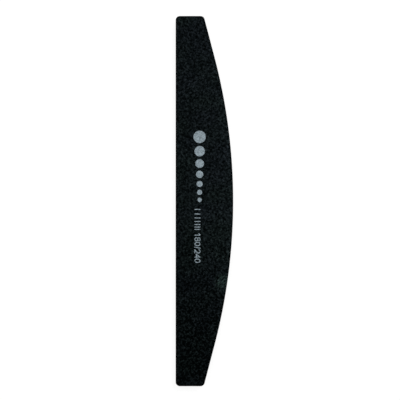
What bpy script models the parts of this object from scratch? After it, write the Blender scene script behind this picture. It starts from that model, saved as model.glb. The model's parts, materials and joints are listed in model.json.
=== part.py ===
"""A half-moon nail file: two abrasive faces on foam, bonded to a stiff plastic core.

The file is a laminate that is die-cut in one stroke, so every layer has the same
outline: one straight side, an arced side that runs into straight flanks, and two
square ends with rounded corners. The cut gives the edge its form. The blade comes
from the front, so it rolls the front sheets down into the foam and the back sheets
up a little less, the foam springs back into a dished face, and the stiff core
stands slightly proud of everything else.

The file lies on its back face. X runs from the straight side to the arced side,
Y along the length, and Z from the back face (z = 0) to the front face. The origin
is the centre of the bounding box at the back face.
"""

import math

import bmesh
import bpy
import numpy as np

MM = 0.001

# Outline
LENGTH = 178.0 * MM
WIDTH = 27.65 * MM
END_WIDTH = 13.5 * MM
FLANK_LENGTH = 20.6 * MM
CORNER_RADIUS = 2.0 * MM
ARC_FACETS = 28
CORNER_FACETS = 6

# Layers, from the core outwards
CORE_THICKNESS = 1.0 * MM
CORE_GLUE_THICKNESS = 0.1 * MM
FOAM_THICKNESS = 0.9 * MM
SHEET_GLUE_THICKNESS = 0.1 * MM
PAPER_THICKNESS = 0.2 * MM
FRONT_GRIT_THICKNESS = 0.16 * MM
BACK_GRIT_THICKNESS = 0.13 * MM
BOND_CLEARANCE = 0.02 * MM

# Rolled edges of the sheets: how far in the roll reaches, and how deep it goes at the cut
FRONT_ROLL_REACH = 1.2 * MM
FRONT_ROLL_DEPTH = 0.28 * MM
BACK_ROLL_REACH = 0.8 * MM
BACK_ROLL_DEPTH = 0.12 * MM
ROLL_SHARES = (1.0, 0.7, 0.42, 0.2, 0.0)

# Cut faces: how far each layer lies behind the outline, which is the core's edge
SHEET_SETBACK = 0.05 * MM
GLUE_SETBACK = 0.12 * MM
FOAM_SETBACK = 0.08 * MM
FOAM_DISH = 0.16 * MM
FOAM_FACETS = 4
CORE_CHAMFER = 0.1 * MM
GRIT_EDGE_RADIUS = 0.06 * MM
GRIT_EDGE_FACETS = 2

SMOOTH_ANGLE = math.radians(35)


def linear(hex_colour):
    """An sRGB hex colour, such as "1c2224", as a linear RGBA tuple."""
    shares = [int(hex_colour[i : i + 2], 16) / 255 for i in (0, 2, 4)]
    curve = [c / 12.92 if c <= 0.04045 else ((c + 0.055) / 1.055) ** 2.4 for c in shares]
    return (*curve, 1.0)


def finish(name, hex_colour, roughness):
    """A plain material, none of which is metal."""
    material = bpy.data.materials.new(name)
    material.use_nodes = True
    shader = material.node_tree.nodes["Principled BSDF"]
    shader.inputs["Base Color"].default_value = linear(hex_colour)
    shader.inputs["Roughness"].default_value = roughness
    shader.inputs["Metallic"].default_value = 0.0
    return material


def die_outline():
    """The outline's points and its outward normals, anticlockwise from above.

    Each flank is tangent to the arc and to its corner. Half the flank's angle has a
    tangent of the side's drop over half the length plus the flank, and the arc's
    radius follows from that angle.
    """
    half_length = LENGTH / 2
    side_drop = WIDTH - END_WIDTH
    flank_angle = 2 * math.atan2(side_drop, half_length + FLANK_LENGTH)
    sine, cosine = math.sin(flank_angle), math.cos(flank_angle)
    arc_radius = (half_length - FLANK_LENGTH * cosine) / sine
    arc_x = WIDTH / 2 - arc_radius
    corner_y = half_length - CORNER_RADIUS
    straight_x = CORNER_RADIUS - WIDTH / 2
    flank_x = arc_x + (arc_radius - CORNER_RADIUS - corner_y * sine) / cosine
    quarter = math.pi / 2
    bends = (
        (straight_x, -corner_y, CORNER_RADIUS, -2 * quarter, -quarter, CORNER_FACETS),
        (flank_x, -corner_y, CORNER_RADIUS, -quarter, -flank_angle, CORNER_FACETS),
        (arc_x, 0.0, arc_radius, -flank_angle, flank_angle, ARC_FACETS),
        (flank_x, corner_y, CORNER_RADIUS, flank_angle, quarter, CORNER_FACETS),
        (straight_x, corner_y, CORNER_RADIUS, quarter, 2 * quarter, CORNER_FACETS),
    )
    points, normals = [], []
    for x, y, radius, start, end, facets in bends:
        angles = np.linspace(start, end, facets + 1)
        outward = np.stack([np.cos(angles), np.sin(angles)], axis=1)
        normals.append(outward)
        points.append(np.array([x, y]) + radius * outward)
    return np.concatenate(points), np.concatenate(normals)


def rolled(height, depth, reach, setback):
    """One face of a rolled sheet, from its flat to its cut edge, as (inset, height) pairs.

    The face leaves its flat on a parabola: the depth times the square of what is left
    of the reach. A positive depth rolls it down, a negative one up.
    """
    insets = [setback + share * (reach - setback) for share in ROLL_SHARES]
    return [(inset, height - depth * (1 - inset / reach) ** 2) for inset in insets]


def sheet_section(bottom, top, depth, reach, setback):
    """A sheet whose two faces roll together."""
    over = rolled(top, depth, reach, setback)
    under = rolled(bottom, depth, reach, setback)
    return over + under[::-1]


def grit_section(inner, thickness, depth, reach):
    """A grit coat: a rolled sheet with its outer edge rounded by the die.

    inner is the height of its flat against the paper. A negative thickness and depth
    make the coat of the back face, whose outer face is below.
    """
    side = math.copysign(1.0, thickness)
    round_start = SHEET_SETBACK + GRIT_EDGE_RADIUS
    outer = rolled(inner + thickness, depth, reach, round_start)
    edge_height = outer[-1][1]
    edge = []
    for step in range(1, GRIT_EDGE_FACETS + 1):
        angle = math.pi / 2 * step / GRIT_EDGE_FACETS
        inset = round_start - GRIT_EDGE_RADIUS * math.sin(angle)
        edge.append((inset, edge_height - side * GRIT_EDGE_RADIUS * (1 - math.cos(angle))))
    section = outer + edge + rolled(inner, depth, reach, SHEET_SETBACK)[::-1]
    return section if side > 0 else section[::-1]


def foam_section(inner, thickness, depth, reach):
    """A foam cushion: flat against the core, rolled under the sheets, dished where it is cut.

    The cut face follows a parabola between its two edges. A negative thickness and
    depth make the foam of the back half.
    """
    outer = rolled(inner + thickness, depth, reach, FOAM_SETBACK)
    edge_height = outer[-1][1]
    dish = []
    for step in range(1, FOAM_FACETS + 1):
        share = step / FOAM_FACETS
        inset = FOAM_SETBACK + FOAM_DISH * (1 - (2 * share - 1) ** 2)
        dish.append((inset, edge_height + share * (inner - edge_height)))
    section = outer + dish
    return section if thickness > 0 else section[::-1]


def flat_section(bottom, top, setback, chamfer=0.0):
    """A flat board or glue film, whose long edges may be chamfered."""
    if not chamfer:
        return [(setback, top), (setback, bottom)]
    return [
        (setback + chamfer, top),
        (setback, top - chamfer),
        (setback, bottom + chamfer),
        (setback + chamfer, bottom),
    ]


def die_cut(name, section, material):
    """Carries a section round the outline and closes its two flats.

    The section is a list of (inset, height) pairs, from the top flat out over the edge
    and back to the bottom flat.
    """
    outline, normals = die_outline()
    shell = bmesh.new()
    rings = []
    for inset, height in section:
        ring = outline - inset * normals
        rings.append([shell.verts.new((x, y, height)) for x, y in ring])
    for upper, lower in zip(rings, rings[1:]):
        for near in range(len(upper)):
            far = (near + 1) % len(upper)
            shell.faces.new((upper[near], lower[near], lower[far], upper[far]))
    shell.faces.new(rings[0])
    shell.faces.new(rings[-1][::-1])
    mesh = bpy.data.meshes.new(name)
    shell.to_mesh(mesh)
    shell.free()
    mesh.shade_smooth()
    mesh.set_sharp_from_angle(angle=SMOOTH_ANGLE)
    mesh.materials.append(material)
    layer = bpy.data.objects.new(name, mesh)
    bpy.context.scene.collection.objects.link(layer)
    return layer


def build_half(side, face, core_face, roll_depth, roll_reach, grit_thickness, finishes):
    """The five layers on one side of the core, from the core's face outwards.

    side is 1 for the front half and -1 for the back half, and core_face is the height
    of the core's face there. Every layer starts one bond clearance past the last one.
    """
    depth = side * roll_depth

    def name(layer):
        return f"{face}_{layer}"

    def between(start, thickness):
        return min(start, start + side * thickness), max(start, start + side * thickness)

    start = core_face + side * BOND_CLEARANCE
    glue = flat_section(*between(start, CORE_GLUE_THICKNESS), GLUE_SETBACK)
    die_cut(name("core_adhesive"), glue, finishes["glue"])

    start += side * (CORE_GLUE_THICKNESS + BOND_CLEARANCE)
    foam = foam_section(start, side * FOAM_THICKNESS, depth, roll_reach)
    die_cut(name("foam"), foam, finishes["foam"])

    start += side * (FOAM_THICKNESS + BOND_CLEARANCE)
    glue = sheet_section(*between(start, SHEET_GLUE_THICKNESS), depth, roll_reach, GLUE_SETBACK)
    die_cut(name("sheet_adhesive"), glue, finishes["glue"])

    start += side * (SHEET_GLUE_THICKNESS + BOND_CLEARANCE)
    paper = sheet_section(*between(start, PAPER_THICKNESS), depth, roll_reach, SHEET_SETBACK)
    die_cut(name("backing_paper"), paper, finishes["paper"])

    start += side * (PAPER_THICKNESS + BOND_CLEARANCE)
    grit = grit_section(start, side * grit_thickness, depth, roll_reach)
    die_cut(name("grit_coat"), grit, finishes["grit"])


def build():
    """The whole file: the core at its height above the back face, and a half on each side."""
    for old in list(bpy.data.objects):
        bpy.data.objects.remove(old)
    finishes = {
        "core": finish("natural_polystyrene", "d9d6cc", 0.45),
        "glue": finish("clear_glue_film", "4a4740", 0.35),
        "foam": finish("black_eva_foam", "1b1c1e", 0.90),
        "paper": finish("black_backing_paper", "202224", 0.80),
        "grit": finish("black_abrasive", "0f1314", 0.75),
    }
    half_stack = SHEET_GLUE_THICKNESS + CORE_GLUE_THICKNESS + FOAM_THICKNESS + PAPER_THICKNESS
    bonds_per_half = 5
    core_bottom = BACK_GRIT_THICKNESS + half_stack + bonds_per_half * BOND_CLEARANCE
    core_top = core_bottom + CORE_THICKNESS
    board = flat_section(core_bottom, core_top, 0.0, CORE_CHAMFER)
    die_cut("core", board, finishes["core"])
    build_half(
        1, "front", core_top, FRONT_ROLL_DEPTH, FRONT_ROLL_REACH, FRONT_GRIT_THICKNESS, finishes
    )
    build_half(
        -1, "back", core_bottom, BACK_ROLL_DEPTH, BACK_ROLL_REACH, BACK_GRIT_THICKNESS, finishes
    )


build()
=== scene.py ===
"""The looks of a half-moon nail file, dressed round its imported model.

The file is a die-cut laminate: black abrasive sheets on black foam, glued to both
faces of a stiff white board. This script keeps the board, the paper and the glue
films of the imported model, and gives them their finishes. It puts heaped angular
grains in place of the two smooth grit coats, foam with cut cells in place of the two
plain cushions, and grey print on the front face.
"""

from __future__ import annotations

import json
import logging
import math
from collections.abc import Iterator
from dataclasses import dataclass
from enum import Enum

import bpy
import numpy as np
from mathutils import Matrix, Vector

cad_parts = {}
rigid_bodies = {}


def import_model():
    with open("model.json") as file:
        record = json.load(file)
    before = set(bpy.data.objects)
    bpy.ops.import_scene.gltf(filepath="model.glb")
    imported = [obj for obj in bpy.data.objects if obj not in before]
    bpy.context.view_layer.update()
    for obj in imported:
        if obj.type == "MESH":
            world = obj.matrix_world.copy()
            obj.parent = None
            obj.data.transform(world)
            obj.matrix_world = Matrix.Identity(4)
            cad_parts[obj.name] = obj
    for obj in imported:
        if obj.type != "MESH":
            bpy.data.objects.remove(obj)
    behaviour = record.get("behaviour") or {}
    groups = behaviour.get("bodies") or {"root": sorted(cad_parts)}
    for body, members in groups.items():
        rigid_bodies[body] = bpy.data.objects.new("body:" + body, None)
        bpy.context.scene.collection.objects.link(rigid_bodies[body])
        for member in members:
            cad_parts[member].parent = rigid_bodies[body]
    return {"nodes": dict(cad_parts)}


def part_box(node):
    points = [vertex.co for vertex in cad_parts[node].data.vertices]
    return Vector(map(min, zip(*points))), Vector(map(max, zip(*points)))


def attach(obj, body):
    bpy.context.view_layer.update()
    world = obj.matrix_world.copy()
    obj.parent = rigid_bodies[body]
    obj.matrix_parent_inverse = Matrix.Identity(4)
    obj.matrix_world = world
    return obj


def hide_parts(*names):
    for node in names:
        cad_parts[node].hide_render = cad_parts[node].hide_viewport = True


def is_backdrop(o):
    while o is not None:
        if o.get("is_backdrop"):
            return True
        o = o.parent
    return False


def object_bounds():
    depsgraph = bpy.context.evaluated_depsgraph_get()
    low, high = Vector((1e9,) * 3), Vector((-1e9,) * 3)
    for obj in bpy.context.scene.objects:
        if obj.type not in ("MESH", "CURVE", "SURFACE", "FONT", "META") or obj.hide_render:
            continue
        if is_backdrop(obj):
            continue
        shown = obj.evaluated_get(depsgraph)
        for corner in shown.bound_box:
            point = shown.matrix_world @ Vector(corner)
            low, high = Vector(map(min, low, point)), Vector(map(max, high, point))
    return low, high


MM = 0.001
LOG = logging.getLogger("nail_file")

# Short names for Blender's types
Tree = bpy.types.NodeTree
Socket = bpy.types.NodeSocket
Piece = bpy.types.Object

# Sockets that share a name with another one on their node, by number
NUMBER_A, NUMBER_B, NUMBER_MIX = 2, 3, 0
COLOUR_A, COLOUR_B, COLOUR_MIX = 6, 7, 2
FIRST, SECOND = 0, 1

# Node settings that come up more than once
COLOURS = {"data_type": "RGBA"}
TIMES = {"operation": "MULTIPLY"}
GREATER = {"operation": "MAXIMUM"}


class Face(Enum):
    """The two faces of the file, with the way that each looks along Z."""

    FRONT = 1
    BACK = -1


class Domain(Enum):
    """What an attribute holds one number for."""

    VERTEX = "POINT"
    FACET = "FACE"


def linear(hex_colour: str) -> tuple[float, float, float, float]:
    """Turns an sRGB hex colour into a linear one.

    Args:
        hex_colour: six hex digits, such as "0f1314".

    Returns:
        Linear red, green and blue, with an alpha of 1.
    """
    shares = np.array([int(hex_colour[i : i + 2], 16) / 255 for i in (0, 2, 4)])
    curve = np.where(shares <= 0.04045, shares / 12.92, ((shares + 0.055) / 1.055) ** 2.4)
    return (*(float(c) for c in curve), 1.0)


def add_node(
    tree: Tree,
    kind: str,
    props: dict[str, object] | None = None,
    values: dict[str | int, object] | None = None,
    links: dict[str | int, Socket] | None = None,
) -> bpy.types.Node:
    """Adds one node with its settings and its links.

    Args:
        tree: the node tree that takes it.
        kind: the node's class, without "ShaderNode" before it.
        props: the node's own properties.
        values: constants for its inputs, by the input's name or number.
        links: the sockets that feed its inputs, by the input's name or number.

    Returns:
        The new node.
    """
    node = tree.nodes.new("ShaderNode" + kind)
    for name, value in (props or {}).items():
        setattr(node, name, value)
    for key, value in (values or {}).items():
        node.inputs[key].default_value = value
    for key, socket in (links or {}).items():
        tree.links.new(socket, node.inputs[key])
    return node


def new_material(
    name: str, values: dict[str, object]
) -> tuple[bpy.types.Material, Tree, bpy.types.NodeInputs]:
    """Makes an empty material with a Principled shader, not a metal, on its output.

    Args:
        name: the material's name.
        values: constants for the shader's inputs.

    Returns:
        The material, its node tree and its shader's inputs.
    """
    material = bpy.data.materials.new(name)
    material.use_nodes = True
    tree = material.node_tree
    tree.nodes.clear()
    shader = add_node(tree, "BsdfPrincipled", values={"Metallic": 0.0, **values})
    add_node(tree, "OutputMaterial", links={"Surface": shader.outputs["BSDF"]})
    return material, tree, shader.inputs


def cloudy(
    tree: Tree, place: Socket, size: float, detail: float, spread: float, drift: float | None = None
) -> Socket:
    """Adds a cloudy pattern in space: noise, stretched about its middle level.

    Args:
        tree: the material's nodes.
        place: the coordinates that it follows.
        size: the distance from one cloud to the next.
        detail: how many finer octaves it has.
        spread: how far from the noise's middle level the pattern reaches its ends.
        drift: how far from 1 the ends are, or none for ends at 0 and 1.

    Returns:
        The pattern.
    """
    noise = {"Scale": 1 / size, "Detail": detail}
    clouds = add_node(tree, "TexNoise", values=noise, links={"Vector": place}).outputs["Fac"]
    levels = {"From Min": 0.5 - spread, "From Max": 0.5 + spread}
    if drift is not None:
        levels |= {"To Min": 1 - drift, "To Max": 1 + drift}
    return add_node(tree, "MapRange", values=levels, links={"Value": clouds}).outputs["Result"]


def mesh_piece(name: str, points: np.ndarray, faces: list[np.ndarray], smooth: bool) -> Piece:
    """Puts a mesh into a new object at the origin.

    Args:
        name: the piece's name.
        points: one row of x, y and z for each vertex.
        faces: arrays of faces, each with one row of vertex numbers a face.
        smooth: whether the faces are shaded smooth.

    Returns:
        The new object, linked to the scene.
    """
    mesh = bpy.data.meshes.new(name)
    loops = np.concatenate([block.ravel() for block in faces]).astype(np.int32)
    sizes = np.concatenate([np.full(len(block), block.shape[1]) for block in faces])
    starts = np.concatenate([[0], np.cumsum(sizes)[:-1]]).astype(np.int32)
    mesh.vertices.add(len(points))
    mesh.vertices.foreach_set("co", points.astype(np.float32).ravel())
    mesh.loops.add(len(loops))
    mesh.loops.foreach_set("vertex_index", loops)
    mesh.polygons.add(len(sizes))
    mesh.polygons.foreach_set("loop_start", starts)
    mesh.polygons.foreach_set("use_smooth", np.full(len(sizes), smooth))
    mesh.update(calc_edges=True)
    mesh.validate()
    piece = bpy.data.objects.new(name, mesh)
    bpy.context.scene.collection.objects.link(piece)
    return piece


def add_attribute(piece: Piece, name: str, values: np.ndarray, domain: Domain) -> None:
    """Gives every vertex or facet of a piece a number that its material can read.

    Args:
        piece: the piece.
        name: the attribute's name.
        values: one number for each vertex or facet.
        domain: which of the two.
    """
    layer = piece.data.attributes.new(name, "FLOAT", domain.value)
    layer.data.foreach_set("value", values.astype(np.float32).ravel())


def nearest_marks(
    u: np.ndarray, v: np.ndarray, stray: np.ndarray
) -> Iterator[tuple[np.ndarray, np.ndarray, np.ndarray, np.ndarray]]:
    """Goes through the nine squares of a lattice round every point.

    Each square holds one mark, which stands off its middle.

    Args:
        u: the points' places across, in squares.
        v: their places along, in squares.
        stray: how far each mark stands off, across and along, by row and column.

    Yields:
        The square's row and column, and the point's place from its mark across and along.
    """
    rows, columns = stray.shape[1:]
    for near_u in (-1, 0, 1):
        for near_v in (-1, 0, 1):
            i = np.clip(np.floor(u).astype(int) + near_u, 0, rows - 1)
            j = np.clip(np.floor(v).astype(int) + near_v, 0, columns - 1)
            yield i, j, u - (i + 0.5 + stray[0][i, j]), v - (j + 0.5 + stray[1][i, j])


@dataclass(frozen=True)
class DieOutline:
    """The half-moon that the die cuts, with its length along Y and its arc towards +X."""

    length: float
    width: float
    end_width: float = 13.5 * MM
    flank_length: float = 20.6 * MM
    corner_radius: float = 2.0 * MM
    corner_steps: int = 6

    @property
    def flank_angle(self) -> float:
        """Twice the angle whose tangent is the side's drop over half the length plus the flank."""
        drop = self.width - self.end_width
        return 2 * math.atan2(drop, self.length / 2 + self.flank_length)

    @property
    def arc_radius(self) -> float:
        """What is left of half the length past the flank, over the sine of the flank's angle."""
        run = self.length / 2 - self.flank_length * math.cos(self.flank_angle)
        return run / math.sin(self.flank_angle)

    @property
    def arc_x(self) -> float:
        """The arc's centre, a radius back from the widest point."""
        return self.width / 2 - self.arc_radius

    @property
    def corner_y(self) -> float:
        """The height of the corners' centres on either side of the middle."""
        return self.length / 2 - self.corner_radius

    @property
    def straight_x(self) -> float:
        """The centres of the two corners on the straight side."""
        return self.corner_radius - self.width / 2

    @property
    def flank_x(self) -> float:
        """The centres of the two corners on the arced side, a radius inside end and flank."""
        reach = self.arc_radius - self.corner_radius - self.corner_y * math.sin(self.flank_angle)
        return self.arc_x + reach / math.cos(self.flank_angle)

    def inset(self, x: np.ndarray, y: np.ndarray) -> np.ndarray:
        """How far points lie inside the outline.

        Away from the corners it is the least distance to the straight side, the end, and
        the arc or its flank. Inside a corner's wedge it is the corner's radius less the
        distance from its centre.

        Args:
            x: the points' places across the file.
            y: their places along it.

        Returns:
            The distances, negative outside the outline.
        """
        up = np.abs(y)
        sine, cosine = math.sin(self.flank_angle), math.cos(self.flank_angle)
        out = x - self.arc_x
        arc = self.arc_radius - np.hypot(out, up)
        flank = self.arc_radius - (out * cosine + up * sine)
        side = np.where(np.arctan2(up, out) < self.flank_angle, arc, flank)
        inside = np.minimum(np.minimum(x + self.width / 2, self.length / 2 - up), side)
        past = up - self.corner_y
        left = np.hypot(x - self.straight_x, past)
        inside = np.where((past > 0) & (x < self.straight_x), self.corner_radius - left, inside)
        turn = np.arctan2(past, x - self.flank_x)
        wedge = (turn > self.flank_angle) & (turn < math.pi / 2)
        right = np.hypot(x - self.flank_x, past)
        return np.where(wedge, self.corner_radius - right, inside)

    def sides(self, y: np.ndarray, setback: float) -> tuple[np.ndarray, np.ndarray]:
        """Where a parallel of the outline crosses lines across the file.

        On the arc and on a corner, a crossing lies past the centre by the root of the radius
        squared less the height squared. On a flank it follows the flank's straight line.

        Args:
            y: the lines' places along the file.
            setback: how far inside the outline the parallel runs.

        Returns:
            The crossings on the straight side and on the arced side.
        """
        up = np.abs(y)
        sine, cosine = math.sin(self.flank_angle), math.cos(self.flank_angle)
        corner = self.corner_radius - setback
        arc = self.arc_radius - setback
        bulge = np.sqrt(np.maximum(corner**2 - np.maximum(up - self.corner_y, 0) ** 2, 0))
        curved = self.arc_x + np.sqrt(arc**2 - up**2)
        flank = self.arc_x + (arc - up * sine) / cosine
        arced = np.where(up < arc * sine, curved, flank)
        arced = np.where(up > self.corner_y + corner * sine, self.flank_x + bulge, arced)
        return self.straight_x - bulge, arced

    def path(self, spacing: float) -> tuple[np.ndarray, np.ndarray, np.ndarray]:
        """Points all the way round, anticlockwise from above, about evenly spaced.

        Args:
            spacing: the distance from one point to the next.

        Returns:
            The points, their outward normals, and how far round each point is.
        """
        quarter = math.pi / 2
        bends = (
            (self.straight_x, -self.corner_y, self.corner_radius, -2 * quarter, -quarter),
            (self.flank_x, -self.corner_y, self.corner_radius, -quarter, -self.flank_angle),
            (self.arc_x, 0.0, self.arc_radius, -self.flank_angle, self.flank_angle),
            (self.flank_x, self.corner_y, self.corner_radius, self.flank_angle, quarter),
            (self.straight_x, self.corner_y, self.corner_radius, quarter, 2 * quarter),
        )
        points, normals = [], []
        for x, y, radius, start, end in bends:
            steps = max(self.corner_steps, round(radius * (end - start) / spacing))
            angles = np.linspace(start, end, steps + 1)
            outward = np.stack([np.cos(angles), np.sin(angles)], axis=1)
            points.append(np.array([x, y]) + radius * outward)
            normals.append(outward)
        for place in range(len(points)):
            start, end = points[place][-1], points[(place + 1) % len(bends)][0]
            steps = round(float(np.hypot(*(end - start))) / spacing)
            if steps > 1:
                shares = np.arange(1, steps)[:, None] / steps
                points[place] = np.concatenate([points[place], start + shares * (end - start)])
                straight = np.repeat(normals[place][-1:], steps - 1, axis=0)
                normals[place] = np.concatenate([normals[place], straight])
        round_trip = np.concatenate(points)
        strides = np.hypot(*np.diff(round_trip, axis=0, prepend=round_trip[:1]).T)
        return round_trip, np.concatenate(normals), np.cumsum(strides)


@dataclass(frozen=True)
class Roll:
    """How the die rolls a sheet's edge into the foam."""

    reach: float
    depth: float

    def drop(self, inset: np.ndarray) -> np.ndarray:
        """How far the sheet has sunk: the depth times the square of what is left of the reach."""
        return self.depth * np.clip(1 - inset / self.reach, 0, 1) ** 2


@dataclass(frozen=True)
class GrainField:
    """Angular grains heaped at random, from 0 in the pits to 1 at the highest tips.

    One grain stands in each square of a lattice, off its middle. A grain is the lowest of
    several steep planes and one tilted top, and the surface is the highest grain nearby.
    Each pair of numbers gives the ends that a grain's own number is drawn between.
    """

    outline: DieOutline
    pitch: float
    seed: int
    sides: int = 5
    stray_share: float = 0.42
    tops: tuple[float, float] = (0.45, 1.0)
    tilt: float = 0.35
    slopes: tuple[float, float] = (1.1, 3.0)
    brims: tuple[float, float] = (0.10, 0.40)

    def sample(self, x: np.ndarray, y: np.ndarray) -> tuple[np.ndarray, np.ndarray]:
        """The surface at points.

        A side's plane stands a brim above the top at the grain's middle, and falls from
        there by its slope.

        Args:
            x: the points' places across the file.
            y: their places along it.

        Returns:
            Heights from 0 to 1, and a number from 0 to 1 that each grain draws by lot.
        """
        dice = np.random.default_rng(self.seed)
        across = int(self.outline.width / self.pitch / 2) + 3
        along = int(self.outline.length / self.pitch / 2) + 3
        shape = (2 * across, 2 * along)
        stray = dice.uniform(-self.stray_share, self.stray_share, (2, *shape))
        top = dice.uniform(*self.tops, shape)
        tilt = dice.normal(0.0, self.tilt, (2, *shape))
        turn = dice.uniform(0.0, 2 * math.pi, shape)
        slope = dice.uniform(*self.slopes, (self.sides, *shape))
        brim = dice.uniform(*self.brims, (self.sides, *shape))
        lot = dice.random(shape)
        u, v = x / self.pitch + across, y / self.pitch + along
        best, drawn = np.zeros_like(u), np.zeros_like(u)
        for i, j, du, dv in nearest_marks(u, v, stray):
            level = top[i, j] + tilt[0][i, j] * du + tilt[1][i, j] * dv
            for side in range(self.sides):
                angle = turn[i, j] + 2 * math.pi * side / self.sides
                away = du * np.cos(angle) + dv * np.sin(angle)
                level = np.minimum(level, top[i, j] + brim[side][i, j] - slope[side][i, j] * away)
            drawn = np.where(level > best, lot[i, j], drawn)
            best = np.maximum(best, level)
        return np.clip(best, 0.0, 1.0), drawn


@dataclass(frozen=True)
class Scuff:
    """A faint pale patch of slanting strokes that a rub has left, palest over its core."""

    x: float
    y: float
    half_width: float
    half_length: float
    core_share: float = 0.2
    slant: float = math.pi / 4
    stroke: float = 1.6 * MM
    stroke_width: float = 0.6 * MM
    stroke_spread: float = 0.09
    stroke_share: float = 0.6
    bare_share: float = 0.2


@dataclass(frozen=True)
class AbrasiveFinish:
    """Black silicon carbide grains, bonded to paper in black resin.

    The grains are opaque black with a faint blue-green cast and broken facets, so the
    face is nearly black, with a fine grey speckle where a facet or a clump of tips is
    paler, and none in the resin between them. The speckle is darkened as painted shade
    towards the -Y end and along the outline where the edge rolls down, and lightened
    towards the arced side as painted light. The arced edge, which files the most, is
    greyer. The real grains are under 0.1 mm, too fine to show, so the speckle is drawn
    as coarse as clumps of them.
    """

    name: str
    clump: float
    resin: str = "000101"
    blue_stone: str = "282f34"
    green_stone: str = "283232"
    dust: str = "40544e"
    most_dust: float = 0.6
    clump_spread: float = 0.2
    clump_share: float = 0.55
    contrast: float = 2.3
    roughness: float = 0.5
    rough_spread: float = 0.2
    specular: float = 0.005
    tooth: float = 0.04 * MM
    tooth_pitch: float = 0.2 * MM
    tooth_strength: float = 0.5
    drift_pitch: float = 9.0 * MM
    drift_spread: float = 0.2
    drift: float = 0.12
    cast_pitch: float = 14.0 * MM
    cast_spread: float = 0.15
    askew: tuple[float, float, float] = (0.6, 0.4, 0.3)
    # Painted shade towards the -Y end: between these two places along the file the speckle's faint parts
    # sink and the rest is darkened.
    shaded_end_y: float = -80.0 * MM
    shade_fade_y: float = -15.0 * MM
    shaded_end_sink: float = 0.12
    shaded_end_share: float = 0.72
    worn_share: float = 1.45
    worn_reach: float = 3.0 * MM
    worn_x: float = 4.14 * MM
    # Painted shade where the edge rolls down: within this band of the outline, in mm, the speckle falls to
    # the share below.
    edge_shade_mm: tuple[float, float] = (0.2, 0.9)
    edge_share: float = 0.4
    half_width: float = 13.8 * MM

    def material(self, scuff: Scuff | None) -> bpy.types.Material:
        """Builds the finish.

        Args:
            scuff: a pale patch on the face, or none.

        Returns:
            The material.
        """
        material, tree, inputs = new_material(self.name, {"Specular IOR Level": self.specular})
        place = add_node(tree, "TexCoord").outputs["Object"]
        facet = add_node(tree, "Attribute", {"attribute_name": "facet"}).outputs["Fac"]
        turned = add_node(tree, "Mapping", values={"Rotation": self.askew}, links={"Vector": place})
        askew = turned.outputs["Vector"]
        clumped = cloudy(tree, askew, self.clump, 1.0, self.clump_spread)
        parts = {NUMBER_A: facet, NUMBER_B: clumped}
        both = add_node(tree, "Mix", values={"Factor": self.clump_share}, links=parts)
        speckle = add_node(
            tree,
            "Math",
            {"operation": "POWER"},
            {SECOND: self.contrast},
            {FIRST: both.outputs[NUMBER_MIX]},
        ).outputs[0]
        bluer = cloudy(tree, askew, self.cast_pitch, 1.0, self.cast_spread)
        stones = {COLOUR_A: linear(self.green_stone), COLOUR_B: linear(self.blue_stone)}
        stone = add_node(tree, "Mix", COLOURS, stones, {"Factor": bluer}).outputs[COLOUR_MIX]
        grains = {"Factor": self.shaded(tree, place, speckle), COLOUR_B: stone}
        resin = {COLOUR_A: linear(self.resin)}
        colour = add_node(tree, "Mix", COLOURS, resin, grains).outputs[COLOUR_MIX]
        if scuff is not None:
            colour = self.scuffed(tree, place, speckle, colour, scuff)
        tree.links.new(colour, inputs["Base Color"])

        ends = {"To Min": self.roughness + self.rough_spread, "To Max": self.roughness - self.rough_spread}
        rough = add_node(tree, "MapRange", values=ends, links={"Value": facet})
        tree.links.new(rough.outputs["Result"], inputs["Roughness"])
        noise = {"Scale": 1 / self.tooth_pitch, "Detail": 1.0}
        fine = add_node(tree, "TexNoise", values=noise, links={"Vector": place}).outputs["Fac"]
        tooth = {"Strength": self.tooth_strength, "Distance": self.tooth}
        bump = add_node(tree, "Bump", values=tooth, links={"Height": fine})
        tree.links.new(bump.outputs["Normal"], inputs["Normal"])
        return material

    def shaded(self, tree: Tree, place: Socket, speckle: Socket) -> Socket:
        """Weakens the speckle where the face is darker.

        Towards the -Y end, as painted shade, its faint parts are sunk: what the speckle has
        over a level is taken as a share of what 1 has over it. Then it is multiplied by five
        shares: painted shade towards the -Y end, painted light growing towards the arced
        side, the worn rim on the arced side, painted shade along the outline where the edge
        rolls down, and a slow drift.

        Args:
            tree: the material's nodes.
            place: the object coordinates.
            speckle: how pale each grain is, from 0 to 1.

        Returns:
            The speckle as it shows.
        """
        where = add_node(tree, "SeparateXYZ", links={"Vector": place}).outputs
        inset = add_node(tree, "Attribute", {"attribute_name": "inset_mm"}).outputs["Fac"]
        slow = cloudy(tree, place, self.drift_pitch, 2.0, self.drift_spread, self.drift)
        # Painted shade towards the -Y end: the speckle's faint parts sink under a rising level, and the
        # rest is darkened below.
        end_shade_span = {"From Min": self.shaded_end_y, "From Max": self.shade_fade_y}
        end_shade_sink = {**end_shade_span, "To Min": self.shaded_end_sink, "To Max": 0.0}
        sunk = add_node(tree, "MapRange", values=end_shade_sink, links={"Value": where["Y"]})
        over = {"Value": speckle, "From Min": sunk.outputs["Result"]}
        speckle = add_node(tree, "MapRange", links=over).outputs["Result"]

        arced = {"From Max": self.worn_x, "To Min": 1.0, "To Max": self.worn_share}
        worn = add_node(tree, "MapRange", values=arced, links={"Value": where["X"]}).outputs["Result"]
        # Painted light: the speckle is lighter towards the arced side at +X and darker towards the
        # straight side, over the drift's range.
        across = {"From Min": -self.half_width, "From Max": self.half_width}
        across |= {"To Min": 1 - self.drift, "To Max": 1 + self.drift}
        rim = {"From Min": self.worn_reach / MM, "From Max": 0.0, "To Min": 1.0}
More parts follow.
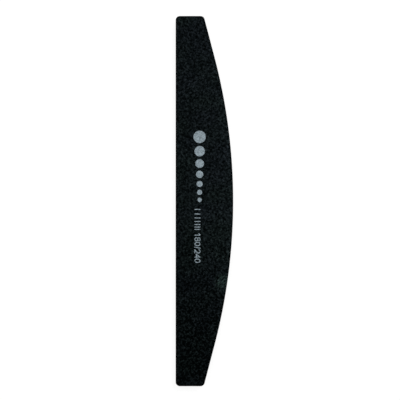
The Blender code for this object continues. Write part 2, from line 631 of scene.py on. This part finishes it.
        # Painted shade along the outline, where the edge rolls down: the speckle is darkened within this
        # band of it.
        start, end = self.edge_shade_mm
        edge_shade = {"From Min": start, "From Max": end, "To Min": self.edge_share}
        shares = (
            ({**end_shade_span, "To Min": self.shaded_end_share}, {"Value": where["Y"]}),
            (across, {"Value": where["X"]}),
            (rim, {"Value": inset, "To Max": worn}),
            (edge_shade, {"Value": inset}),
        )
        nodes = [add_node(tree, "MapRange", values=ends, links=links) for ends, links in shares]
        for factor in (*(node.outputs["Result"] for node in nodes), slow):
            product = {FIRST: speckle, SECOND: factor}
            speckle = add_node(tree, "Math", TIMES, links=product).outputs[0]
        return speckle

    def scuffed(self, tree: Tree, place: Socket, patchy: Socket, colour: Socket, scuff: Scuff) -> Socket:
        """Lays a faint patch of pale filing dust over a colour.

        Its strokes are clouds in a space that is turned to their slant and measured in
        strokes. Dust lies where strokes and pattern together are over the bare share.

        Args:
            tree: the material's nodes.
            place: the object coordinates.
            patchy: a pattern from 0 to 1 that breaks the patch up.
            colour: what the dust lies on.
            scuff: the patch.

        Returns:
            The dusted colour.
        """
        placed = {"vector_type": "TEXTURE"}
        ellipse = {
            "Location": (scuff.x, scuff.y, 0.0),
            "Scale": (scuff.half_width, scuff.half_length, 1.0),
        }
        scaled = add_node(tree, "Mapping", placed, ellipse, {"Vector": place}).outputs["Vector"]
        away = add_node(tree, "VectorMath", {"operation": "LENGTH"}, links={FIRST: scaled})
        smooth = {"interpolation_type": "SMOOTHSTEP"}
        fade = {"From Min": 1.0, "From Max": scuff.core_share}
        middle = add_node(tree, "MapRange", smooth, fade, {"Value": away.outputs["Value"]})

        rubbed = {
            "Rotation": (0.0, 0.0, scuff.slant),
            "Scale": (scuff.stroke, scuff.stroke_width, 1.0),
        }
        slanted = add_node(tree, "Mapping", placed, rubbed, {"Vector": place}).outputs["Vector"]
        strokes = cloudy(tree, slanted, 1.0, 1.0, scuff.stroke_spread)
        parts = {NUMBER_A: patchy, NUMBER_B: strokes}
        both = add_node(tree, "Mix", values={"Factor": scuff.stroke_share}, links=parts)
        dusty = {"From Min": scuff.bare_share, "To Max": self.most_dust}
        broken = add_node(tree, "MapRange", values=dusty, links={"Value": both.outputs[NUMBER_MIX]})
        product = {FIRST: middle.outputs["Result"], SECOND: broken.outputs["Result"]}
        amount = add_node(tree, "Math", TIMES, links=product).outputs[0]
        layers = {"Factor": amount, COLOUR_A: colour}
        dust = {COLOUR_B: linear(self.dust)}
        return add_node(tree, "Mix", COLOURS, dust, layers).outputs[COLOUR_MIX]


@dataclass(frozen=True)
class InkFinish:
    """Grey screen-printing ink on grit.

    The ink wets the grains and is thin in the pits, so it looks matt and a little
    mottled, with the darker face showing through in places.
    """

    name: str = "grey_screen_ink"
    full: str = "94a3ab"
    thin: str = "6c787e"
    mottle: float = 0.7 * MM
    mottle_spread: float = 0.15
    roughness: float = 0.7
    specular: float = 0.2

    def material(self) -> bpy.types.Material:
        """Builds the finish.

        Returns:
            The material.
        """
        constants = {"Roughness": self.roughness, "Specular IOR Level": self.specular}
        material, tree, inputs = new_material(self.name, constants)
        place = add_node(tree, "TexCoord").outputs["Object"]
        cover = cloudy(tree, place, self.mottle, 2.0, self.mottle_spread)
        tones = {COLOUR_A: linear(self.thin), COLOUR_B: linear(self.full)}
        colour = add_node(tree, "Mix", COLOURS, tones, {"Factor": cover}).outputs[COLOUR_MIX]
        tree.links.new(colour, inputs["Base Color"])
        return material


@dataclass(frozen=True)
class MottledFinish:
    """A matt sheet stock with two close tones and a fine tooth.

    It serves the layers that show only at the cut edge: foam, paper, glue and board. The
    stretch turns the tooth's round grain into the upright strokes that a die leaves. Where
    the stock has open cells, their insides are darkened as painted shade and their rims
    are left light.
    """

    name: str
    light: str
    dark: str
    grain: float
    roughness: float
    specular: float
    tooth: float = 0.03 * MM
    tooth_strength: float = 0.6
    stretch: float = 1.0
    # Whether the inside of open cells is darkened as painted shade, down to the brink below.
    painted_pit_shade: bool = False
    grain_detail: float = 3.0
    grain_fineness: float = 0.6
    grain_spread: float = 0.2
    rough_spread: float = 0.08
    pit_shade_brink: float = 0.5

    def material(self) -> bpy.types.Material:
        """Builds the finish.

        Returns:
            The material.
        """
        material, tree, inputs = new_material(self.name, {"Specular IOR Level": self.specular})
        place = add_node(tree, "TexCoord").outputs["Object"]
        stretched = {"Scale": (1.0, 1.0, 1 / self.stretch)}
        drawn = add_node(tree, "Mapping", values=stretched, links={"Vector": place}).outputs["Vector"]
        noise = {
            "Scale": 1 / self.grain,
            "Detail": self.grain_detail,
            "Roughness": self.grain_fineness,
        }
        grain = add_node(tree, "TexNoise", values=noise, links={"Vector": drawn}).outputs["Fac"]
        levels = {"From Min": 0.5 - self.grain_spread, "From Max": 0.5 + self.grain_spread}
        amount = add_node(tree, "MapRange", values=levels, links={"Value": grain}).outputs["Result"]
        # Painted shade: the colour is darkened inside the open cells, by their depth.
        if self.painted_pit_shade:
            pit = add_node(tree, "Attribute", {"attribute_name": "pit"}).outputs["Fac"]
            fade = {"From Max": self.pit_shade_brink, "To Min": 1.0, "To Max": 0.0}
            rim = add_node(tree, "MapRange", values=fade, links={"Value": pit}).outputs["Result"]
            amount = add_node(tree, "Math", TIMES, links={FIRST: amount, SECOND: rim}).outputs[0]
        tones = {COLOUR_A: linear(self.dark), COLOUR_B: linear(self.light)}
        colour = add_node(tree, "Mix", COLOURS, tones, {"Factor": amount}).outputs[COLOUR_MIX]
        tree.links.new(colour, inputs["Base Color"])
        ends = {"To Min": self.roughness - self.rough_spread, "To Max": self.roughness + self.rough_spread}
        rough = add_node(tree, "MapRange", values=ends, links={"Value": grain})
        tree.links.new(rough.outputs["Result"], inputs["Roughness"])
        tooth = {"Strength": self.tooth_strength, "Distance": self.tooth}
        bump = add_node(tree, "Bump", values=tooth, links={"Height": grain})
        tree.links.new(bump.outputs["Normal"], inputs["Normal"])
        return material


@dataclass
class GritCoat:
    """One abrasive face: heaped grains in resin, rolled down at its die-cut edge."""

    name: str
    face: Face
    outline: DieOutline
    roll: Roll
    grains: GrainField
    tips_z: float
    thickness: float
    relief: float
    finish: AbrasiveFinish
    scuff: Scuff | None = None
    cell: float = 0.24 * MM
    setback: float = 0.0
    edge_share: float = 0.6
    strew_share: float = 0.33
    corner_rows: int = 12
    edge_columns: int = 6
    edge_facet: float = 0.3
    seed: int = 3

    def lines(self) -> np.ndarray:
        """Places of the grid's lines along the file, closer together round the corners.

        Along a corner each line stands at the sine of an even turn of its arc.

        Returns:
            The places, from one end to the other.
        """
        turns = np.linspace(0, math.pi / 2, self.corner_rows + 1)[1:]
        radius = self.outline.corner_radius - self.setback
        corner = self.outline.corner_y + radius * np.sin(turns)
        steps = round(2 * self.outline.corner_y / self.cell)
        middle = np.linspace(-self.outline.corner_y, self.outline.corner_y, steps + 1)
        return np.concatenate([-corner[::-1], middle, corner])

    def gritty_side(self) -> tuple[np.ndarray, np.ndarray]:
        """The grains' surface: a grid of points, and triangles whose diagonals fall either way.

        A grid point lies at its share of the way from the straight side to the arced side,
        on its line. Points inside the edge are strewn by up to a third of a cell. A point
        lies below the tips by the relief times what its grain lacks in height, plus the
        roll's drop. At the edge, where the die crushes them, grains keep a share of theirs.

        Returns:
            The points, by line and by column, and the triangles as numbers of points.
        """
        lines = self.lines()
        columns = round(self.outline.width / self.cell) + 1
        straight, arced = self.outline.sides(lines, self.setback)
        shares = np.linspace(0, 1, columns)
        x = straight[:, None] + shares * (arced - straight)[:, None]
        y = np.repeat(lines[:, None], columns, axis=1)
        dice = np.random.default_rng(self.seed)
        strewn = dice.uniform(-self.strew_share, self.strew_share, (2, *x.shape))
        strewn[:, [0, -1], :] = 0.0
        strewn[:, :, [0, -1]] = 0.0
        gaps = np.diff(lines)
        room = np.minimum(np.append(gaps, gaps[-1]), np.insert(gaps, 0, gaps[0]))
        x += strewn[0] * ((arced - straight) / (columns - 1))[:, None]
        y += strewn[1] * room[:, None]
        heights = self.grains.sample(x, y)[0]
        heights[[0, -1], :] *= self.edge_share
        heights[1:-1, [0, -1]] *= self.edge_share
        depth = self.relief * (1 - heights) + self.roll.drop(self.outline.inset(x, y))
        points = np.stack([x, y, self.tips_z - self.face.value * depth], axis=-1)

        over = np.arange(x.size).reshape(x.shape)
        a, b = over[:-1, :-1].ravel(), over[:-1, 1:].ravel()
        c, d = over[1:, 1:].ravel(), over[1:, :-1].ravel()
        falls = (dice.random(len(a)) < 0.5)[:, None]
        lower = np.where(falls, np.stack([a, b, c], 1), np.stack([a, b, d], 1))
        upper = np.where(falls, np.stack([a, c, d], 1), np.stack([b, c, d], 1))
        return points, np.concatenate([lower, upper])

    def build(self, points: np.ndarray, triangles: np.ndarray) -> Piece:
        """Makes the coat as one closed mesh on its gritty side.

        The side against the paper uses only the columns near the two long edges and one in
        the middle. Quads close the long edges, and one flat polygon closes each end. A
        facet's number is two parts its grain's lot and one part its own, and the faces that
        close the coat share one number.

        Args:
            points: the gritty side's points, by line and by column.
            triangles: its triangles.

        Returns:
            The coat, in place.
        """
        rows, columns = points.shape[:2]
        near = np.arange(self.edge_columns)
        kept = np.concatenate([near, [columns // 2], columns - 1 - near[::-1]])
        inner = points[:, kept].copy()
        inner[..., 1] = self.lines()[:, None]
        sunk = self.thickness + self.roll.drop(self.outline.inset(inner[..., 0], inner[..., 1]))
        inner[..., 2] = self.tips_z - self.face.value * sunk

        over = np.arange(rows * columns).reshape(rows, columns)
        under = over.size + np.arange(rows * len(kept)).reshape(rows, len(kept))
        flat = [under[:-1, :-1], under[1:, :-1], under[1:, 1:], under[:-1, 1:]]
        left = [over[1:, 0], under[1:, 0], under[:-1, 0], over[:-1, 0]]
        right = [over[:-1, -1], under[:-1, -1], under[1:, -1], over[1:, -1]]
        low_end = np.concatenate([over[0, ::-1], under[0]])
        high_end = np.concatenate([over[-1], under[-1, ::-1]])
        faces = [
            triangles,
            np.stack(flat, axis=-1).reshape(-1, 4),
            np.stack(left, axis=-1),
            np.stack(right, axis=-1),
            low_end[None],
            high_end[None],
        ]
        if self.face is Face.BACK:
            faces = [block[:, ::-1] for block in faces]
        every = np.concatenate([points.reshape(-1, 3), inner.reshape(-1, 3)])
        coat = mesh_piece(self.name, every, faces, smooth=False)

        middles = points.reshape(-1, 3)[triangles].mean(axis=1)
        lots = self.grains.sample(middles[:, 0], middles[:, 1])[1]
        own = np.random.default_rng(self.seed + 1).random(len(lots))
        plain = np.full(sum(len(block) for block in faces[1:]), self.edge_facet)
        add_attribute(coat, "facet", np.concatenate([(2 * lots + own) / 3, plain]), Domain.FACET)
        insets = self.outline.inset(every[:, 0], every[:, 1]) / MM
        add_attribute(coat, "inset_mm", insets, Domain.VERTEX)
        coat.data.materials.append(self.finish.material(self.scuff))
        return coat


@dataclass
class FoamCushion:
    """One foam layer: flat on the board, rolled under its sheets, with cut cells at the edge."""

    name: str
    face: Face
    outline: DieOutline
    roll: Roll
    inner: float
    outer: float
    finish: MottledFinish
    spacing: float = 0.1 * MM
    setback: float = 0.08 * MM
    dish: float = 0.16 * MM
    cut_rows: int = 11
    roll_rows: int = 4
    pore: float = 0.34 * MM
    pore_depth: float = 0.16 * MM
    pore_radii: tuple[float, float] = (0.25, 0.62)
    stray_share: float = 0.3
    seed: int = 11

    def pores(self, run: np.ndarray, height: np.ndarray) -> np.ndarray:
        """Cells that the die cut open, as pits from 0 to 1.

        One round pit lies in each square of a lattice over the cut face, off its middle. Its
        depth is 1 less the square of the distance from its centre over its radius.

        Args:
            run: how far round the outline each point is.
            height: the points' heights on the cut face.

        Returns:
            How deep the pits are at the points, the deepest nearby.
        """
        u, v = run / self.pore, height / self.pore
        shape = (int(u.max()) + 3, int(v.max()) + 3)
        dice = np.random.default_rng(self.seed)
        stray = dice.uniform(-self.stray_share, self.stray_share, (2, *shape))
        radius = dice.uniform(*self.pore_radii, shape)
        deepest = np.zeros_like(u)
        for i, j, du, dv in nearest_marks(u, v, stray):
            deepest = np.maximum(deepest, 1 - (du**2 + dv**2) / radius[i, j] ** 2)
        return deepest

    def build(self) -> Piece:
        """Makes the cushion: its section carried round the outline, closed by its two flats.

        The section comes off the outer flat on the roll's parabola, turns down the cut face,
        which is dished by a parabola between its edges, and ends on the inner flat.

        Returns:
            The cushion, in place.
        """
        points, normals, run = self.outline.path(self.spacing)
        rolled = np.linspace(self.roll.reach, self.setback, self.roll_rows + 1)
        rolled_z = self.outer - self.face.value * self.roll.drop(rolled)
        shares = np.linspace(0, 1, self.cut_rows + 1)[1:]
        cut = self.setback + self.dish * (1 - (2 * shares - 1) ** 2)
        cut_z = rolled_z[-1] + shares * (self.inner - rolled_z[-1])
        insets = np.concatenate([rolled, cut])[:, None] + np.zeros(len(points))
        heights = np.concatenate([rolled_z, cut_z])[:, None] + np.zeros(len(points))
        open_rows = slice(self.roll_rows + 1, -1)
        up = np.abs(heights[open_rows] - self.inner)
        pits = np.zeros_like(insets)
        pits[open_rows] = self.pores(run[None] + np.zeros_like(up), up)
        insets += self.pore_depth * pits
        flat = points[None] - insets[..., None] * normals[None]
        rings = np.concatenate([flat, heights[..., None]], axis=-1)

        rows, count = insets.shape
        grid = np.arange(rows * count).reshape(rows, count)
        ahead = np.roll(grid, -1, axis=1)
        wall = np.stack([grid[:-1], grid[1:], ahead[1:], ahead[:-1]], axis=-1).reshape(-1, 4)
        faces = [wall, grid[:1], grid[-1:, ::-1]]
        if self.face is Face.BACK:
            faces = [block[:, ::-1] for block in faces]
        cushion = mesh_piece(self.name, rings.reshape(-1, 3), faces, smooth=True)
        add_attribute(cushion, "pit", pits, Domain.VERTEX)
        cushion.data.materials.append(self.finish.material())
        return cushion


@dataclass
class PrintedMarks:
    """Grey print that reads down the front face, with the tops of its signs towards +X.

    First comes a row of plain dots and then a row of ticks, both from coarse to fine, and
    last the two grits. Every stroke has one width.
    """

    name: str
    tips_z: float
    relief: float
    finish: InkFinish
    dots_x: float = -2.3 * MM
    dots_top: float = 33.8 * MM
    dots_bottom: float = -0.4 * MM
    largest_dot: float = 5.9 * MM
    smallest_dot: float = 2.0 * MM
    dot_count: int = 7
    ticks_top: float = -4.0 * MM
    ticks_bottom: float = -13.6 * MM
    narrowing: float = 0.5
    tick_count: int = 7
    text: str = "180/240"
    text_top: float = -15.1 * MM
    baseline_x: float = -4.78 * MM
    cap_height: float = 2.85 * MM
    sign_width: float = 2.0 * MM
    slash_width: float = 1.0 * MM
    sign_gap: float = 0.26 * MM
    stroke: float = 0.36 * MM
    bow_points: int = 25
    splits: int = 3
    film: float = 0.012 * MM
    ragged: float = 0.03 * MM
    missed: tuple[float, float] = (0.82, 1.15)
    mending_rounds: int = 6
    merging: float = 1e-8
    seed: int = 21

    def bow(self, x: float, y: float, rx: float, ry: float, start: float, end: float) -> np.ndarray:
        """Points along part of an ellipse, from one angle to another in degrees."""
        turns = np.radians(np.linspace(start, end, self.bow_points))
        return np.stack([x + rx * np.cos(turns), y + ry * np.sin(turns)], axis=1)

    def glyph(self, sign: str) -> list[np.ndarray]:
        """One sign's strokes, in units of the height of a numeral.

        The numbers in it say where a plain numeral bends, as shares of its width or height.

        Args:
            sign: a numeral or the slash.

        Returns:
            Lines of points, each row the place along the text and the height.
        """
        wide = self.sign_width / self.cap_height
        slash = self.slash_width / self.cap_height
        edge = self.stroke / self.cap_height / 2
        middle, half, top = wide / 2, wide / 2 - edge, 1 - edge
        waist = 0.54
        upper, lower = (top - waist) / 2, (waist - edge) / 2
        stem = 0.74 * wide
        strokes = {
            "0": [self.bow(middle, 0.5, half, 0.5 - edge, 0, 360)],
            "1": [np.array([(0.26 * wide, 0.76), (0.62 * wide, top), (0.62 * wide, edge)])],
            "8": [
                self.bow(middle, waist + upper, half - 0.03, upper, 0, 360),
                self.bow(middle, edge + lower, half, lower, 0, 360),
            ],
            "/": [np.array([(edge, 0.0), (slash - edge, 1.0)])],
            "2": [
                self.bow(middle, top - 0.27, half, 0.27, 170, -35),
                np.array([(middle + 0.8 * half, 0.49), (edge, edge), (wide - edge, edge)]),
            ],
            "4": [np.array([(stem, edge), (stem, top), (edge, 0.31), (wide, 0.31)])],
        }
        return strokes[sign]

    def lines(self) -> list[np.ndarray]:
        """Every stroke of the ticks and the signs, as lines of points on the face.

        The gaps between the ticks shrink by one ratio from each to the next.

        Returns:
            The lines, each row a place across the file and a place along it.
        """
        gaps = np.geomspace(1, self.narrowing, self.tick_count - 1)
        gaps *= (self.ticks_top - self.ticks_bottom) / gaps.sum()
        edge = self.stroke / 2
        low, high = self.baseline_x + edge, self.baseline_x + self.cap_height - edge
        tick_places = self.ticks_top - np.insert(np.cumsum(gaps), 0, 0.0)
        strokes = [np.array([(low, y), (high, y)]) for y in tick_places]
        y = self.text_top
        for sign in self.text:
            for line in self.glyph(sign):
                across = self.baseline_x + line[:, 1] * self.cap_height
                strokes.append(np.stack([across, y - line[:, 0] * self.cap_height], axis=1))
            y -= (self.slash_width if sign == "/" else self.sign_width) + self.sign_gap
        return strokes

    def cover(self, x: np.ndarray, y: np.ndarray) -> np.ndarray:
        """How far points lie inside the print, in metres, negative outside it.

        Inside a dot it is the radius less the distance from the centre. Inside a stroke it is
        half the width less the distance to the nearest piece of the line.

        Args:
            x: the points' places across the file.
            y: their places along it.

        Returns:
            The greatest of the distances.
        """
        sizes = np.geomspace(self.largest_dot, self.smallest_dot, self.dot_count)
        room = self.dots_top - self.dots_bottom - sizes.sum()
        gap = room / (self.dot_count - 1)
        starts = np.cumsum(sizes + gap) - sizes - gap
        inside = np.full(x.shape, -1.0)
        for size, start in zip(sizes, starts):
            middle = self.dots_top - start - size / 2
            inside = np.maximum(inside, size / 2 - np.hypot(x - self.dots_x, y - middle))
        for line in self.lines():
            for (ax, ay), (bx, by) in zip(line, line[1:]):
                run_x, run_y = bx - ax, by - ay
                along = ((x - ax) * run_x + (y - ay) * run_y) / (run_x**2 + run_y**2)
                along = np.clip(along, 0, 1)
                away = np.hypot(x - ax - along * run_x, y - ay - along * run_y)
                inside = np.maximum(inside, self.stroke / 2 - away)
        return inside

    def split(self, corners: np.ndarray) -> tuple[np.ndarray, np.ndarray]:
        """Cuts triangles into smaller ones on the same planes.

        The corners of the small ones are even shares of the way between the old corners.
        Corners that two triangles share are merged: they round to the same tiny steps.

        Args:
            corners: the triangles' corners, three rows of x, y and z for each.

        Returns:
            The small triangles' points, and the triangles as numbers of points.
        """
        n = self.splits
        steps = [(i, j) for i in range(n + 1) for j in range(n + 1 - i)]
        number = {step: place for place, step in enumerate(steps)}
        weights = np.array([(i, j, n - i - j) for i, j in steps]) / n
        small = [(number[i, j], number[i + 1, j], number[i, j + 1]) for i, j in steps if i + j < n]
        small += [
            (number[i + 1, j], number[i + 1, j + 1], number[i, j + 1])
            for i, j in steps
            if i + j < n - 1
        ]
        points = np.einsum("pw,twc->tpc", weights, corners)
        first = np.arange(len(corners)) * len(steps)
        triangles = (np.array(small)[None] + first[:, None, None]).reshape(-1, 3)
        keys = np.round(points.reshape(-1, 3) / self.merging).astype(np.int64)
        _, kept, merged = np.unique(keys, axis=0, return_index=True, return_inverse=True)
        return points.reshape(-1, 3)[kept], merged.ravel()[triangles]

    def rim(self, triangles: np.ndarray, count: int) -> np.ndarray:
        """The edges that only one of some triangles has, in that triangle's direction.

        Args:
            triangles: the triangles.
            count: how many points there are.

        Returns:
            The edges, as numbers of points.
        """
        edges = np.concatenate([triangles[:, [0, 1]], triangles[:, [1, 2]], triangles[:, [2, 0]]])
        forward = edges[:, 0] * count + edges[:, 1]
        backward = edges[:, 1] * count + edges[:, 0]
        return edges[~np.isin(forward, backward)]

    def build(self, points: np.ndarray, triangles: np.ndarray) -> Piece:
        """Makes the ink: a thin closed film on the facets that the print covers.

        A small facet is inked where the print covers its middle, less a ragged edge, unless
        it lies in a pit that the screen missed. Where two inked patches meet in one corner
        only, the facets round it are inked too, so that the film is a clean solid.

        Args:
            points: the gritty side's points, by line and by column.
            triangles: its triangles.

        Returns:
            The ink, in place.
        """
        corners = points.reshape(-1, 3)[triangles]
        middles = corners.mean(axis=1)
        near = self.cover(middles[:, 0], middles[:, 1]) > -self.stroke
        grit, small = self.split(corners[near])
        middles = grit[small].mean(axis=1)
        dice = np.random.default_rng(self.seed)
        depth = (self.tips_z - middles[:, 2]) / self.relief
        missed = depth > dice.uniform(*self.missed, len(depth))
        print_edge = dice.normal(0, self.ragged, len(depth))
        inked = (self.cover(middles[:, 0], middles[:, 1]) > print_edge) & ~missed
        for _ in range(self.mending_rounds):
            rim = self.rim(small[inked], len(grit))
            pinched = np.bincount(rim[:, 0], minlength=len(grit)) > 1
            inked |= pinched[small].any(axis=1)
        top = small[inked]
        rim = self.rim(top, len(grit))
        wall = np.stack([rim[:, 1], rim[:, 0], rim[:, 0] + len(grit)], axis=1)
        base = np.stack([rim[:, 1], rim[:, 0] + len(grit), rim[:, 1] + len(grit)], axis=1)
        faces = np.concatenate([top, top[:, ::-1] + len(grit), wall, base])
        film = np.array([0.0, 0.0, self.film])
        both = np.concatenate([grit + film, grit - 2 * film])
        used, numbers = np.unique(faces, return_inverse=True)
        ink = mesh_piece(self.name, both[used], [numbers.reshape(faces.shape)], smooth=False)
        ink.data.materials.append(self.finish.material())
        return ink


@dataclass
class Laminate:
    """The whole file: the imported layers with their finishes, and the pieces made here.

    180 and 240 grit grains are 0.08 and 0.06 mm across. Their heaps are drawn 0.46 and
    0.40 mm apart, so that they show, and the finer one stays on the back.
    """

    nodes: dict[str, Piece]
    body: str = "root"
    front_roll: Roll = Roll(1.2 * MM, 0.28 * MM)
    back_roll: Roll = Roll(0.8 * MM, 0.12 * MM)
    front_grit: float = 0.16 * MM
    back_grit: float = 0.13 * MM
    front_relief: float = 0.12 * MM
    back_relief: float = 0.09 * MM
    front_pitch: float = 0.46 * MM
    back_pitch: float = 0.40 * MM
    front_clump: float = 1.0 * MM
    back_clump: float = 0.8 * MM
    scuff: Scuff = Scuff(9.0 * MM, -38.9 * MM, 5.6 * MM, 5.3 * MM)

    def outline(self) -> DieOutline:
        """The die's outline, with its length and width from the board, which it cuts."""
        low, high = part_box("core")
        return DieOutline(length=high.y - low.y, width=high.x - low.x)

    def settle(self, piece: Piece, node: str) -> None:
        """Puts a piece on the file in place of a packed layer.

        Args:
            piece: the piece.
            node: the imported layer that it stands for, or nothing.
        """
        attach(piece, self.body)
        if node:
            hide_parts(node)
        LOG.info("%s: %d faces", piece.name, len(piece.data.polygons))

    def build_coats(self) -> None:
        """Makes the two abrasive faces and the print on the front one.

        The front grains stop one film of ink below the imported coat's top, to leave it room.
        """
        outline = self.outline()
        marks = PrintedMarks(
            "printed_marks",
            tips_z=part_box("front_grit_coat")[1].z,
            relief=self.front_relief,
            finish=InkFinish(),
        )
        marks.tips_z -= marks.film
        front = GritCoat(
            "front_abrasive",
            Face.FRONT,
            outline,
            self.front_roll,
            GrainField(outline, self.front_pitch, seed=5),
            tips_z=marks.tips_z,
            thickness=self.front_grit - marks.film,
            relief=self.front_relief,
            finish=AbrasiveFinish("black_abrasive_180", clump=self.front_clump),
            scuff=self.scuff,
        )
        points, triangles = front.gritty_side()
        self.settle(front.build(points, triangles), "front_grit_coat")
        self.settle(marks.build(points, triangles), "")
        back = GritCoat(
            "back_abrasive",
            Face.BACK,
            outline,
            self.back_roll,
            GrainField(outline, self.back_pitch, seed=6),
            tips_z=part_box("back_grit_coat")[0].z,
            thickness=self.back_grit,
            relief=self.back_relief,
            finish=AbrasiveFinish("black_abrasive_240", clump=self.back_clump),
        )
        self.settle(back.build(*back.gritty_side()), "back_grit_coat")

    def build_cushions(self) -> None:
        outline = self.outline()
        # Closed-cell foam that the die slices: matt dark grey, its cut cells darkened inside as painted
        # shade and their rims left light
        foam = MottledFinish(
            "black_eva_foam",
            "47494d",
            "121315",
            grain=0.16 * MM,
            roughness=0.85,
            specular=0.15,
            tooth=0.05 * MM,
            painted_pit_shade=True,
        )
        front_low, front_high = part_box("front_foam")
        back_low, back_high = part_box("back_foam")
        cushions = {
            "front_foam": FoamCushion(
                "front_cushion",
                Face.FRONT,
                outline,
                self.front_roll,
                front_low.z,
                front_high.z,
                foam,
            ),
            "back_foam": FoamCushion(
                "back_cushion",
                Face.BACK,
                outline,
                self.back_roll,
                back_high.z,
                back_low.z,
                foam,
                seed=12,
            ),
        }
        for node, cushion in cushions.items():
            piece = cushion.build()
            self.settle(piece, node)

    def dress_layers(self) -> None:
        """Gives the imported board, papers and glue films their finishes."""
        # Undyed sheet that the die shears: milky white and satin, with faint upright strokes
        board = MottledFinish(
            "natural_polystyrene",
            "dcd9cf",
            "cbc7bb",
            grain=0.35 * MM,
            roughness=0.42,
            specular=0.5,
            stretch=12.0,
        )
        # Paper dyed right through: matt and black, with a soft fibrous mottle where it is cut
        paper = MottledFinish(
            "dyed_backing_paper", "26282a", "0e0f10", grain=0.4 * MM, roughness=0.85, specular=0.2
        )
        # Clear rolled-on glue between black sheets: a thin line, browner and glossier than they
        glue = MottledFinish(
            "acrylic_glue_film", "4a4740", "1f1e1b", grain=0.9 * MM, roughness=0.35, specular=0.4
        )
        for stock, finish in {"core": board, "paper": paper, "adhesive": glue}.items():
            material = finish.material()
            for name, node in self.nodes.items():
                if name.endswith(stock):
                    for slot in node.material_slots:
                        slot.material = material
                    LOG.info("%s: %s", name, finish.name)

    def build(self) -> None:
        """Makes and dresses every layer, from the faces inwards."""
        self.build_coats()
        self.build_cushions()
        self.dress_layers()


@dataclass(frozen=True)
class Softbox:
    """A square lamp that faces the file: where it hangs, its side's length and its watts."""

    name: str
    place: tuple[float, float, float]
    size: float
    power: float


@dataclass
class Studio:
    """A white table under soft light, seen from straight above as in the photograph."""

    face_z: float
    view_width: float = 192.19 * MM
    aim: tuple[float, float] = (-2.13 * MM, 0.53 * MM)
    lens_mm: float = 100.0
    sensor_mm: float = 36.0
    nearest: float = 10 * MM
    ambient: float = 0.45
    floor_half: float = 3.0
    floor_z: float = -0.05 * MM
    floor_white: float = 0.8
    floor_glow: float = 0.85
    floor_shade: float = 0.2
    lamps: tuple[Softbox, ...] = (
        Softbox("key", (0.35, 0.45, 0.55), 0.5, 3.7),
        Softbox("fill", (-0.5, 0.1, 0.6), 0.7, 1.85),
    )

    @property
    def far_tone(self) -> float:
        """What the floor shows far from the lamps: its glow, and its shade of the dim room."""
        return self.floor_glow + self.floor_shade * self.ambient

    def add_camera(self) -> None:
        """Hangs the camera over the file, as far up as its lens needs for the view's width."""
        camera = bpy.data.cameras.new("camera")
        camera.lens = self.lens_mm
        camera.sensor_width = self.sensor_mm
        camera.clip_start = self.nearest
        rig = bpy.data.objects.new("camera", camera)
        away = self.view_width * self.lens_mm / self.sensor_mm
        rig.location = (*self.aim, self.face_z + away)
        bpy.context.scene.collection.objects.link(rig)
        bpy.context.scene.camera = rig

    def shown(self, tree: Tree) -> Socket:
        """1 where the camera sees a surface, itself or in a mirror or glass.

        Args:
            tree: the nodes of a backdrop's material or of the world.

        Returns:
            The greatest of Light Path's camera, glossy and transmission rays.
        """
        rays = add_node(tree, "LightPath").outputs
        seen = rays["Is Camera Ray"]
        for ray in ("Is Glossy Ray", "Is Transmission Ray"):
            seen = add_node(tree, "Math", GREATER, links={FIRST: seen, SECOND: rays[ray]}).outputs[0]
        return seen

    def add_world(self) -> None:
        """A white room: as pale as the far floor where it is seen, and dimmer as a light."""
        world = bpy.data.worlds.new("white_room")
        world.use_nodes = True
        bpy.context.scene.world = world
        tree = world.node_tree
        tree.nodes.clear()
        levels = {"To Min": self.ambient, "To Max": self.far_tone}
        strength = add_node(tree, "MapRange", values=levels, links={"Value": self.shown(tree)})
        white = {"Color": (1.0, 1.0, 1.0, 1.0)}
        room = add_node(tree, "Background", values=white, links={"Strength": strength.outputs["Result"]})
        add_node(tree, "OutputWorld", links={"Surface": room.outputs[0]})

    def add_floor(self) -> None:
        """A white table top: it takes a soft shadow, and glows enough to be seen as white."""
        edge = self.floor_half
        corners = np.array([(-edge, -edge), (edge, -edge), (edge, edge), (-edge, edge)])
        points = np.concatenate([corners, np.full((4, 1), self.floor_z)], axis=1)
        floor = mesh_piece("floor", points, [np.arange(4)[None]], smooth=False)
        material = bpy.data.materials.new("white_table")
        material.use_nodes = True
        tree = material.node_tree
        tree.nodes.clear()
        matt, faint = (
            add_node(tree, "BsdfDiffuse", values={"Color": (tone, tone, tone, 1.0)}).outputs[0]
            for tone in (self.floor_white, self.floor_shade)
        )
        glow = add_node(tree, "Emission", values={"Strength": self.floor_glow}).outputs[0]
        lifted = add_node(tree, "AddShader", links={0: faint, 1: glow}).outputs[0]
        looks = {"Fac": self.shown(tree), 1: matt, 2: lifted}
        surface = add_node(tree, "MixShader", links=looks)
        add_node(tree, "OutputMaterial", links={"Surface": surface.outputs[0]})
        floor.data.materials.append(material)
        floor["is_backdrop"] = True

    def add_lamp(self, softbox: Softbox) -> None:
        """Hangs one lamp.

        Args:
            softbox: the lamp.
        """
        lamp = bpy.data.lights.new(softbox.name, "AREA")
        lamp.size = softbox.size
        lamp.energy = softbox.power
        box = bpy.data.objects.new(softbox.name, lamp)
        box.location = softbox.place
        box.rotation_euler = box.location.to_track_quat("Z", "Y").to_euler()
        bpy.context.scene.collection.objects.link(box)

    def build(self) -> None:
        """Sets the camera, the room, the table and the lamps."""
        self.add_camera()
        self.add_world()
        self.add_floor()
        for softbox in self.lamps:
            self.add_lamp(softbox)
        bpy.context.scene.view_settings.view_transform = "Standard"


def main() -> None:
    """Builds the studio and the file."""
    logging.basicConfig(level=logging.INFO, format="%(name)s: %(message)s")
    for old in list(bpy.data.objects):
        bpy.data.objects.remove(old)
    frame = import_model()
    packed_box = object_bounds()
    Studio(face_z=packed_box[1][2]).build()
    Laminate(frame["nodes"]).build()


if __name__ == "__main__":
    main()
